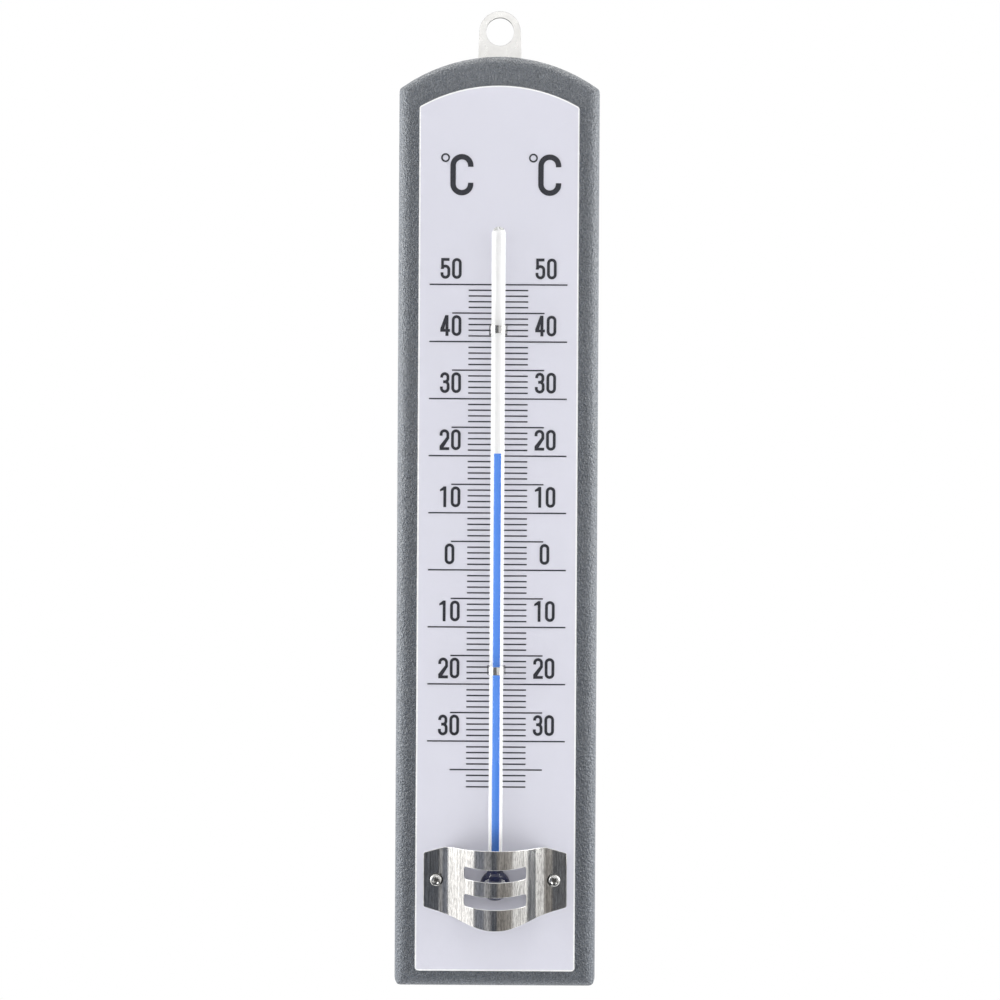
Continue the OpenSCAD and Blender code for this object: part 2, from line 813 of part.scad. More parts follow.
module nail(z) {
    color([0.7, 0.7, 0.72]) translate([0, hanger_t / 2, z]) rotate([90, 0, 0]) {
        translate([0, 0, -nail_head_t]) cylinder(h = nail_head_t, d = nail_head_d);
        cylinder(h = nail_l - nail_point, d = nail_d);
        translate([0, 0, nail_l - nail_point])
            cylinder(h = nail_point, d1 = nail_d, d2 = nail_d / 10);
    }
}

back_board();
scale_plate();
plate_tape(-1);  // plate_tape_left
plate_tape(1);  // plate_tape_right
degree_lines(-1);  // degree_lines_left
degree_lines(1);  // degree_lines_right
scale_figures(-1);  // scale_figures_left
scale_figures(1);  // scale_figures_right
unit_sign(-1);  // unit_sign_left
unit_sign(1);  // unit_sign_right
glass_tube();
enamel_strip();
spirit_reservoir();
spirit_column();
clip(upper_clip_z);  // upper_clip
clip(lower_clip_z);  // lower_clip
bulb_guard();
cross_head_screw(-screw_span / 2, 30);  // guard_screw_left
cross_head_screw(screw_span / 2, 42);  // guard_screw_right
hanger();
nail(upper_nail_z);  // hanger_nail_upper
nail(lower_nail_z);  // hanger_nail_lower
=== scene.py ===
"""Garden thermometer: finishes, small forms and studio for the packed model.

The frame gives every solid in metres, with +X to the reader's right, +Z up and the scale facing -Y.
Each operator below dresses one piece or one group of like pieces.
"""
import math

import bmesh
import bpy
from bpy.props import FloatProperty, FloatVectorProperty, IntProperty, PointerProperty
from mathutils import Matrix, Vector


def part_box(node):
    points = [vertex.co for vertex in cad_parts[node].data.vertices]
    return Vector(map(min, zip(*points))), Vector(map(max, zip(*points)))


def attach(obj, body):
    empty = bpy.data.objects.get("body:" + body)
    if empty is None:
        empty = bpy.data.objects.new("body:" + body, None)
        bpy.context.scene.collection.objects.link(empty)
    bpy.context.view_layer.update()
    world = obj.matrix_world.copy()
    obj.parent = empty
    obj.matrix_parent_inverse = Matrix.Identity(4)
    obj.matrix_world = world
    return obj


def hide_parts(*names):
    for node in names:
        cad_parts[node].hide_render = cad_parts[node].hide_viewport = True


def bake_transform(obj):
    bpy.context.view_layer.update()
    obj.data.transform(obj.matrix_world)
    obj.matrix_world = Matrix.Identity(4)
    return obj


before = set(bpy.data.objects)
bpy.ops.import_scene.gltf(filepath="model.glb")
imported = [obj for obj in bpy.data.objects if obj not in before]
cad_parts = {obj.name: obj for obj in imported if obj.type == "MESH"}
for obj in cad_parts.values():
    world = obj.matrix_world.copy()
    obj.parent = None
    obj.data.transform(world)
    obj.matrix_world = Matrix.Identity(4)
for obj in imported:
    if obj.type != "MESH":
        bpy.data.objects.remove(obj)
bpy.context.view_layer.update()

bl_info = {
    "name": "Garden thermometer",
    "version": (1, 0, 0),
    "blender": (4, 5, 0),
    "location": "3D View > Sidebar > Thermometer",
    "description": "Dresses the packed garden thermometer and sets up its studio",
    "category": "Object",
}

MM = 0.001
FIXED = "thermometer"

GUARD_T = 0.6  # thickness of the guard's sheet, on which the screws sit, in millimetres
SEAT_RIM = 0.4 * MM  # flat seat in the sheet past the edge of a screw's head
GUARD_HOLE_R = 1.6 * MM
SHANK_R = 1.45 * MM
POINT_L = 2 * MM
POINT_R = 0.15 * MM
HEAD_EDGE = 0.15 * MM  # slant under the edge of a screw's head
CROWN_SHARE = 2.05  # radius of a screw's crown over the radius of its head
CROWN_REACH = 23.0  # degrees from the middle of the crown to its rounded rim
CLEAR = 4 * MM  # how far a cutter stands out of the sheet
PRINT_FADE = 0.1 * MM  # softness of the edge of the bare rim
SHOULDER = 12 * MM  # shoulders of the plate below its crown
JOINED = 0.0005 * MM  # points of new mesh code nearer than this are one
WELDED = 0.002 * MM  # the same for the frame's solids
ROUND = 72  # segments round a screw, a drill hole or a seat
FLAT = 0.5  # degrees between the triangles of one flat face, at most
SHARP = 40  # degrees at an edge that is shaded sharp, at least
RING_PITCH = 0.11 * MM  # turning marks of a screw's head
BORE_HALF = 0.9 * MM  # half the width of the flat bore
SQUARE = ((-1, -1), (1, -1), (1, 1), (-1, 1))


# Places read from the frame

def middle(name):
    """Centre of a solid's box."""
    low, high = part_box(name)
    return (low + high) / 2


def points_of(name):
    """Every point of a solid's mesh."""
    return [v.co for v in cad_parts[name].data.vertices]


def stem_radius():
    """Radius of the glass stem, measured just under its closed end."""
    return max(p.x for p in points_of("glass_tube") if p.z > TUBE_TOP - 4 * MM)


def arch_radius(name):
    """Radius of the arched top of a solid, from its crown and a point beside it."""
    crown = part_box(name)[1].z
    beside = [p for p in points_of(name) if 2 * MM < crown - p.z < 5 * MM]
    return sum((p.x**2 + (crown - p.z) ** 2) / (2 * (crown - p.z)) for p in beside) / len(beside)


PLATE_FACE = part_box("scale_plate")[0].y
TUBE_LOW, TUBE_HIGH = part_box("glass_tube")
TUBE_TOP = TUBE_HIGH.z
BULB_R = (TUBE_HIGH.y - TUBE_LOW.y) / 2
BULB = Vector((0, middle("glass_tube").y, TUBE_LOW.z + BULB_R))
STEM_R = stem_radius()
SCREW_X, _, SCREW_LINE = middle("guard_screw_right")
SCREW_LOW, SCREW_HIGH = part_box("guard_screw_right")
HEAD_R = (SCREW_HIGH.x - SCREW_LOW.x) / 2
SCREW_SEAT = PLATE_FACE - GUARD_T * MM
HEAD_H = SCREW_SEAT - SCREW_LOW.y


# Surfaces

class Quantity:
    """A number, colour or vector that varies over a surface. Arithmetic adds Math nodes."""

    def __init__(self, nodes, socket):
        self.nodes = nodes
        self.socket = socket

    def _maths(self, operation, *values):
        return self.nodes.add("ShaderNodeMath", {"operation": operation}, dict(enumerate(values)))

    def __add__(self, other):
        return self._maths("ADD", self, other)

    __radd__ = __add__

    def __sub__(self, other):
        return self._maths("SUBTRACT", self, other)

    def __rsub__(self, other):
        return self._maths("SUBTRACT", other, self)

    def __mul__(self, other):
        return self._maths("MULTIPLY", self, other)

    __rmul__ = __mul__

    def __truediv__(self, other):
        return self._maths("DIVIDE", self, other)

    def __rtruediv__(self, other):
        return self._maths("DIVIDE", other, self)

    def __pow__(self, power):
        return self._maths("POWER", self, power)

    def __abs__(self):
        return self._maths("ABSOLUTE", self)

    def sine(self):
        return self._maths("SINE", self)

    def root(self):
        return self._maths("SQRT", self)

    def between(self, low, high):
        """0 below low, 1 above high and smooth in between."""
        return self.nodes.add(
            "ShaderNodeMapRange",
            {"interpolation_type": "SMOOTHSTEP"},
            {"Value": self, "From Min": low, "From Max": high},
        )


class Nodes:
    """The nodes of a material or of the world."""

    def __init__(self, owner):
        owner.use_nodes = True
        self.tree = owner.node_tree

    def add(self, kind, settings=None, sockets=None, output=0):
        """A node with its settings made first, then its sockets set or linked."""
        node = self.tree.nodes.new(kind)
        for name, value in (settings or {}).items():
            setattr(node, name, value)
        for name, value in (sockets or {}).items():
            self.feed(node.inputs[name], value)
        return Quantity(self, node.outputs[output]) if node.outputs else None

    def feed(self, socket, value):
        """Sets a socket to a plain value, or links it to a varying one."""
        if isinstance(value, Quantity):
            self.tree.links.new(value.socket, socket)
        else:
            socket.default_value = value

    def ray(self, kind):
        """1 for rays of one kind, 0 for all others."""
        return self.add("ShaderNodeLightPath", output=f"Is {kind} Ray")

    def seen_directly(self):
        """1 or more for what is seen, also in a mirror or through a glass, 0 for soft light."""
        return self.ray("Camera") + self.ray("Glossy") + self.ray("Transmission")


class Surface(Nodes):
    """A material with one Principled shader. Numbers given by name are set on its own sockets.

    Its place is where a point of the surface is, in metres.
    """

    def __init__(self, name, **constants):
        self.material = bpy.data.materials.new(name)
        super().__init__(self.material)
        self.shader = self.tree.nodes["Principled BSDF"]
        self.place = self.add("ShaderNodeTexCoord", output="Object")
        self.paint(**constants)

    def paint(self, **sockets):
        """Sets or links sockets of the shader, with words_like_this for its names."""
        for name, value in sockets.items():
            title = " ".join(w.upper() if w == "ior" else w.title() for w in name.split("_"))
            self.feed(self.shader.inputs[title], value)
        return self.material

    def along(self, axis, vector=None):
        """One of the three numbers of a vector, or of the place."""
        return self.add("ShaderNodeSeparateXYZ", sockets={0: vector or self.place}, output=axis)

    def facing(self, axis):
        """How far the surface faces along an axis, either way: 1 is squarely."""
        normal = self.add("ShaderNodeNewGeometry", output="Normal")
        return abs(self.along(axis, normal))

    def noise(self, size, detail=2.0, roughness=0.5, drawn=None):
        """Soft random variation whose blotches are about size metres wide.

        drawn multiplies the place along X, Y and Z: less than 1 makes the blotches longer.
        """
        place = self.place
        if drawn:
            multiply = {"operation": "MULTIPLY"}
            place = self.add("ShaderNodeVectorMath", multiply, {0: place, 1: drawn})
        return self.add(
            "ShaderNodeTexNoise",
            sockets={"Vector": place, "Scale": 1 / size, "Detail": detail, "Roughness": roughness},
        )

    def blend(self, share, first, second):
        """Goes from the first colour to the second as share goes from 0 to 1."""
        return self.add(
            "ShaderNodeMix", {"data_type": "RGBA"}, {0: share, 6: first, 7: second}, output=2
        )

    def shades(self, share, colour, first, second):
        """Goes from one shade of a colour to another. A shade below 1 is darker."""
        return self.blend(share, rgba(colour, first), rgba(colour, second))

    def relief(self, height, depth):
        """A normal bent by a height between 0 and 1, depth metres deep."""
        return self.add(
            "ShaderNodeBump", sockets={"Height": height, "Distance": depth, "Strength": 1.0}
        )

    def shader_mix(self, share, second, first=None):
        """Goes from the first shader, or else its own, to the second."""
        first = first or Quantity(self, self.shader.outputs[0])
        return self.add("ShaderNodeMixShader", sockets={0: share, 1: first, 2: second})

    def show(self, shader):
        """Shows a shader in place of its plain one."""
        self.feed(self.tree.nodes["Material Output"].inputs["Surface"], shader)
        return self.material

    def pass_soft_light(self, share=1.0):
        """Lets a share of lamp and soft light through, so that what lies behind is lit."""
        clear = self.add("ShaderNodeBsdfTransparent", sockets={"Color": rgba((share,) * 3)})
        body = None
        for kind in ("Diffuse", "Shadow"):
            body = self.shader_mix(self.ray(kind), clear, body)
        return self.show(body)


def rgba(colour, factor=1.0):
    """A colour property as four numbers, made lighter or darker by factor."""
    return (*[c * factor for c in colour[:3]], 1.0)


def textured_paint(s):
    """Thick outdoor paint: pebbles and short brush strokes, with a slow drift in tone."""
    paint = Surface("textured_paint", specular_ior_level=0.8)
    pebbles = paint.noise(s.pebble_size)
    grit = paint.noise(s.pebble_size * 0.4, detail=1.0)
    drift = paint.noise(0.05, detail=3.0)
    brushed = paint.noise(s.pebble_size * 0.55, drawn=(1.0, 1.0, 0.35))
    crowns = pebbles.between(0.36, 0.66)
    strokes = brushed.between(0.4, 0.6)
    tone = (crowns * 0.3 + strokes * 0.25 + grit * 0.15 + drift * 0.3).between(0.2, 0.8)
    return paint.paint(
        base_color=paint.shades(tone, s.paint_colour, 0.82, 1.16),
        roughness=s.paint_roughness + 0.12 * grit - 0.12 * crowns,
        normal=paint.relief(crowns * 0.5 + strokes * 0.4 + grit * 0.1, s.pebble_height),
    )


def white_plate(s):
    """Stoved white enamel: glossy, with a faint orange peel and slow drifts, and a paler rim that
    is a painted highlight along its edge and bevel.
    """
    plate = Surface("white_plate", specular_ior_level=0.5, coat_roughness=0.08)
    peel = plate.noise(0.0022)
    drift = plate.noise(0.05, detail=3.0)
    specks = plate.noise(0.0006, detail=1.0).between(0.72, 0.8)
    low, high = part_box("scale_plate")
    arch = arch_radius("scale_plate")
    across, up = plate.along("X"), plate.along("Z")
    crown = (across**2.0 + (up - (high.z - arch)) ** 2.0).root()

    def near(distance, edge):
        return distance.between(edge - s.rim_highlight_width, edge - s.rim_highlight_width + PRINT_FADE)

    arched = up.between(high.z - SHOULDER, high.z - SHOULDER + MM)
    edge = near(abs(across), high.x) + near(-1 * up, -low.z) + arched * near(crown, arch)
    # Painted highlight: the band along the outline, and the bevel and sides that turn away from the
    # front, are painted paler.
    rim = (edge + 1 - plate.facing("Y")).between(0.0, 0.4)
    face = plate.shades(drift * 0.8 + specks * 0.2, s.plate_colour, 1.02, 0.965)
    return plate.paint(
        base_color=plate.blend(rim, face, rgba((0.97, 0.97, 0.985))),
        roughness=s.plate_roughness + 0.06 * drift + 0.1 * specks,
        coat_weight=0.35,
        normal=plate.relief(peel, 0.000012),
    )


def printing_ink(s):
    """Screen ink: near black, a little uneven, with a soft sheen."""
    ink = Surface("printing_ink")
    cover = ink.noise(0.0007, detail=3.0)
    screen = ink.noise(0.00018, detail=1.0)
    return ink.paint(
        base_color=ink.shades(cover.between(0.35, 0.7), s.ink_colour, 0.8, 1.35),
        roughness=0.34 + 0.2 * screen,
        normal=ink.relief(screen * 0.6 + cover * 0.4, 0.000008),
    )


def foam_tape():
    """Off-white foam with open cells along its cut edge."""
    tape = Surface("foam_tape", specular_ior_level=0.3)
    cells = tape.noise(0.0004, detail=3.0)
    return tape.paint(
        base_color=tape.blend(cells, rgba((0.62, 0.6, 0.54)), rgba((0.86, 0.85, 0.8))),
        roughness=0.75 + 0.2 * cells,
        normal=tape.relief(cells, 0.00006),
    )


def drawn_glass(s):
    """Clear drawn glass, creased where its end was melted shut, with dark marks painted at that end
    in place of the dark surroundings it refracts.
    """
    glass = Surface("drawn_glass", transmission_weight=1.0, ior=1.47, roughness=0.0)
    draw_lines = glass.noise(0.0011, drawn=(1.0, 1.0, 0.03))
    creases = glass.noise(0.0005, drawn=(1.0, 1.0, 0.2))
    up = glass.along("Z")
    closed = up.between(TUBE_TOP - 2.6 * MM, TUBE_TOP - 0.6 * MM)
    # Painted dark marks at the closed end, in place of the dark surroundings that it refracts.
    refraction_marks = creases.between(0.42, 0.54) * up.between(TUBE_TOP - 2.8 * MM, TUBE_TOP - MM)
    glass.paint(
        base_color=glass.blend(refraction_marks, rgba(s.glass_colour), rgba((0.12, 0.12, 0.11))),
        normal=glass.relief(draw_lines + 40 * closed * creases, 0.0000035),
    )
    return glass.pass_soft_light()


def fused_enamel():
    """Milky enamel fused in the glass, faintly streaked along the draw. It lets light through."""
    enamel = Surface("fused_enamel", specular_ior_level=0.0)
    streaks = enamel.noise(0.0005, drawn=(1.0, 1.0, 0.04))
    enamel.paint(
        base_color=enamel.blend(streaks, rgba((1.0, 1.0, 1.0)), rgba((0.965, 0.97, 0.97))),
        roughness=0.45 + 0.15 * streaks,
    )
    return enamel.pass_soft_light(0.85)


def dyed_spirit(s):
    """The blue thread in the bore, with painted shade that darkens it toward its right side; it
    passes soft light as dye does.
    """
    spirit = Surface("dyed_spirit", specular_ior_level=0.0)
    # Painted shade: lighter at the left of the bore, darker and deeper blue at the right.
    side_shade = (spirit.along("X") / BORE_HALF).between(-1.0, 1.0)
    drift = spirit.noise(0.004, drawn=(1.0, 1.0, 0.2))
    spirit.paint(
        base_color=spirit.blend(
            (side_shade * 0.7 + drift * 0.3).between(0.0, 1.0),
            rgba(s.spirit_colour, 1.15),
            rgba((s.spirit_colour[0] * 0.55, s.spirit_colour[1] * 0.8, s.spirit_colour[2])),
        ),
        roughness=0.3 + 0.1 * drift,
    )
    return spirit.pass_soft_light()


def spirit_in_bulk(s):
    """The same spirit filling the bulb, so deep that it is almost black."""
    bulk = Surface("spirit_in_bulk", specular_ior_level=0.1)
    depth = bulk.noise(0.004)
    return bulk.paint(
        base_color=bulk.shades(depth, s.bulk_colour, 1.0, 1.9),
        roughness=0.06 + 0.05 * depth,
    )


def plated_strip(s):
    """Bright plating on thin strip, with fine rubbing marks."""
    strip = Surface("plated_strip", metallic=1.0)
    marks = strip.noise(0.00016, detail=3.0, drawn=(0.15, 0.15, 1.0))
    haze = strip.noise(0.0016)
    return strip.paint(
        base_color=strip.shades(haze, s.plating_colour, 1.0, 0.82),
        roughness=0.1 + 0.12 * haze + 0.06 * marks,
        normal=strip.relief(marks, 0.000004),
    )


def drawn_sheet(s):
    """Stainless sheet: fine upright grain, broader drawn streaks, finger haze, and a painted
    highlight on the edges that face up or down.
    """
    sheet = Surface("drawn_sheet")
    upright = (1.0, 1.0, s.grain_length)
    grain = sheet.noise(0.0004, roughness=0.6, drawn=upright)
    streaks = sheet.noise(0.0012, detail=3.0, roughness=0.7, drawn=upright)
    short = sheet.noise(0.0004, detail=3.0, drawn=(1.0, 1.0, 0.18))
    haze = sheet.noise(0.006, detail=3.0)
    marks = grain.between(0.38, 0.62) * 0.35 + streaks.between(0.4, 0.62) * 0.25
    face = sheet.shades(marks + short.between(0.42, 0.62) * 0.4, s.sheet_colour, 1.3, 0.5)
    # Painted highlight: faces that turn up or down, the bevelled top and bottom edges, are painted
    # pale and less metallic.
    edge_highlight = sheet.facing("Z").between(0.3, 0.7)
    return sheet.paint(
        base_color=sheet.blend(edge_highlight, face, rgba((0.95, 0.95, 0.94))),
        metallic=1 - 0.7 * edge_highlight,
        roughness=s.sheet_roughness + 0.08 * haze + 0.12 * short,
        normal=sheet.relief(streaks * 0.8 + short * 0.2, s.grain_depth),
    )


def screw_plating(s):
    """Bright screw head, turned in rings, with painted shade that darkens it toward the plate: the
    bottom of its cross and the foot of the head.
    """
    plating = Surface("screw_plating", metallic=1.0)
    across = abs(plating.along("X")) - SCREW_X
    up = plating.along("Z") - SCREW_LINE
    rings = ((across**2.0 + up**2.0).root() * (math.tau / RING_PITCH)).sine() * 0.5 + 0.5
    haze = plating.noise(0.0011, detail=3.0)
    # Painted shade: darker deeper toward the plate, in the bottom of the cross and round the foot
    # of the head.
    depth_shade = plating.along("Y").between(PLATE_FACE - 1.9 * MM, PLATE_FACE - 1.2 * MM)
    return plating.paint(
        base_color=plating.blend(
            depth_shade, plating.shades(haze, s.plating_colour, 1.02, 0.8), rgba((0.12, 0.115, 0.11))
        ),
        roughness=0.14 + 0.14 * haze + 0.3 * depth_shade,
        normal=plating.relief(rings * 0.4 + haze * 0.6, 0.000005),
    )


def tab_sheet(s):
    """Pale rolled sheet: soft lengthwise grain, dull patches from handling, and painted shade that
    makes its cut edges near black.
    """
    sheet = Surface("tab_sheet", metallic=1.0)
    grain = sheet.noise(0.00025, detail=3.0, drawn=(1.0, 1.0, 0.05))
    patches = sheet.noise(0.005, detail=4.0)
    specks = sheet.noise(0.0009)
    worn = (patches * 0.4 + grain * 0.2 + specks * 0.4).between(0.3, 0.7)
    face = sheet.shades(worn, s.tab_colour, 1.0, 0.9)
    low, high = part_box("hanger")
    half = (high.y - low.y) / 2
    # Painted shade: the cut edges between the two faces are painted near black.
    off_centre = abs(sheet.along("Y") - (low.y + high.y) / 2)
    edge_shade = 1 - off_centre.between(half - 0.05 * MM, half - 0.01 * MM)
    return sheet.paint(
        base_color=sheet.blend(edge_shade, face, rgba(s.tab_colour, 0.03)),
        roughness=0.2 + 0.1 * patches + 0.08 * grain,
        normal=sheet.relief(grain, 0.000006),
    )


def nail_wire():
    """Plain wire nail: grey, with a hammered face and traces of rust."""
    wire = Surface("nail_wire")
    dents = wire.noise(0.0009, detail=3.0)
    rust = wire.noise(0.0014, detail=4.0).between(0.58, 0.78)
    return wire.paint(
        base_color=wire.blend(rust, rgba((0.5, 0.5, 0.51)), rgba((0.24, 0.13, 0.07))),
        roughness=0.3 + 0.4 * rust + 0.1 * dents,
        metallic=1 - 0.8 * rust,
        normal=wire.relief(dents, 0.00003),
    )


# Meshes

def dress(name, material):
    """Gives a solid of the frame its finish."""
    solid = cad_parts[name]
    solid.data.materials.clear()
    solid.data.materials.append(material)
    return solid


def ease_edges(piece, width, segments=2, sharp=35.0, clamp=True, whole_flats=False):
    """Rounds the sharp edges of a piece a little, so that they catch light.

    With whole_flats, the triangles of each flat face are joined first.
    """
    weld = piece.modifiers.new("joined", "WELD")
    weld.merge_threshold = WELDED
    if whole_flats:
        flats = piece.modifiers.new("flats", "DECIMATE")
        flats.decimate_type = "DISSOLVE"
        flats.angle_limit = math.radians(FLAT)
    bevel = piece.modifiers.new("eased", "BEVEL")
    bevel.width = width
    bevel.segments = segments
    bevel.limit_method = "ANGLE"
    bevel.angle_limit = math.radians(sharp)
    bevel.use_clamp_overlap = clamp
    even_shading(piece)
    return piece


def even_shading(piece, keep_sharp=False):
    """Shades flat faces flat up to their eased edges."""
    even = piece.modifiers.new("even", "WEIGHTED_NORMAL")
    even.mode = "FACE_AREA"
    even.keep_sharp = keep_sharp


def new_object(name, data):
    """An object in the scene for a mesh, a lamp or a camera."""
    holder = bpy.data.objects.new(name, data)
    bpy.context.scene.collection.objects.link(holder)
    return holder


def new_piece(name, mesh, body, material, replaced):
    """A piece of the object in place of a solid of the frame. Without a body it rides later."""
    piece = new_object(name, mesh)
    mesh.materials.append(material)
    mesh.shade_smooth()
    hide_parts(replaced)
    if body:
        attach(piece, body)
    return piece


def made_final(piece):
    """Works a piece's modifiers into its mesh."""
    bpy.context.view_layer.update()
    shape = bpy.data.meshes.new_from_object(
        piece.evaluated_get(bpy.context.evaluated_depsgraph_get())
    )
    piece.modifiers.clear()
    shape.set_sharp_from_angle(angle=math.radians(SHARP))
    piece.data = shape


def mesh_of(name, points, faces):
    """A mesh with its normals turned outward."""
    mesh = bpy.data.meshes.new(name)
    mesh.from_pydata(points, [], faces)
    shape = bmesh.new()
    shape.from_mesh(mesh)
    bmesh.ops.remove_doubles(shape, verts=shape.verts, dist=JOINED)
    bmesh.ops.recalc_face_normals(shape, faces=shape.faces)
    shape.to_mesh(mesh)
    shape.free()
    return mesh


def lofted(name, rings):
    """A closed solid over rings of points. An end is flat, or a pole where it is one point."""
    points = []
    rows = []
    for ring in rings:
        rows.append(range(len(points), len(points) + len(ring)))
        points += ring
    faces = [tuple(row) for row in (rows[0], rows[-1]) if len(row) > 1]
    for below, above in zip(rows, rows[1:]):
        for i in range(max(len(below), len(above))):
            pairs = ((below, i), (below, i + 1), (above, i + 1), (above, i))
            corners = [row[k % len(row)] for row, k in pairs]
            faces.append(tuple(dict.fromkeys(corners)))
    return mesh_of(name, points, faces)


def turned(name, outline, segments, placed):
    """A solid of revolution about Z: outline holds radius and height from one pole to the other."""
    turns = [math.tau * i / segments for i in range(segments)]
    rings = []
    for radius, height in outline:
        spots = [(radius * math.cos(t), radius * math.sin(t), height) for t in turns]
        rings.append([placed @ Vector(spot) for spot in (spots if radius else spots[:1])])
    return lofted(name, rings)


def arc(centre, radius, start, end, steps):
    """Points of an arc, angles in degrees."""
    turns = [math.radians(start + (end - start) * i / steps) for i in range(steps + 1)]
    return [(centre[0] + radius * math.cos(t), centre[1] + radius * math.sin(t)) for t in turns]


def glass_outline(neck_r):
    """Half outline of bulb, neck and stem, from the foot of the bulb to the closed end."""
    rise = math.sqrt((BULB_R + neck_r) ** 2 - (STEM_R + neck_r) ** 2)
    touch = math.degrees(math.atan2(rise, STEM_R + neck_r))
    bulb = arc((0, BULB.z), BULB_R, -90, touch, 40)
    neck = arc((STEM_R + neck_r, BULB.z + rise), neck_r, touch + 180, 180, 8)
    tip_z = TUBE_TOP - STEM_R
    length = tip_z - BULB.z - rise
    stem = [(STEM_R, BULB.z + rise + length * i / 24) for i in range(1, 24)]
    tip = arc((0, tip_z), STEM_R, 0, 90, 14)
    outline = bulb + neck[1:] + stem + tip
    return [(0.0 if abs(r) < 1e-9 else r, z) for r, z in outline]


def thread_mesh():
    """The spirit in the flat bore. Its sides run straight, so it stretches evenly as it rises."""
    low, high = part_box("spirit_column")
    depth = high.y - low.y
    half = (high.x - low.x - depth) / 2
    back = (low.y + high.y) / 2
    around = arc((half, 0), depth / 2, -90, 90, 12) + arc((-half, 0), depth / 2, 90, 270, 12)
    rounded_top = ((1.0, high.z - 0.05 * MM), (0.93, high.z - 0.015 * MM), (0.8, high.z))
    rings = [
        [(x * share, back + y * share, z) for x, y in around]
        for share, z in ((1.0, low.z), *rounded_top)
    ]
    return lofted("spirit_thread", rings)


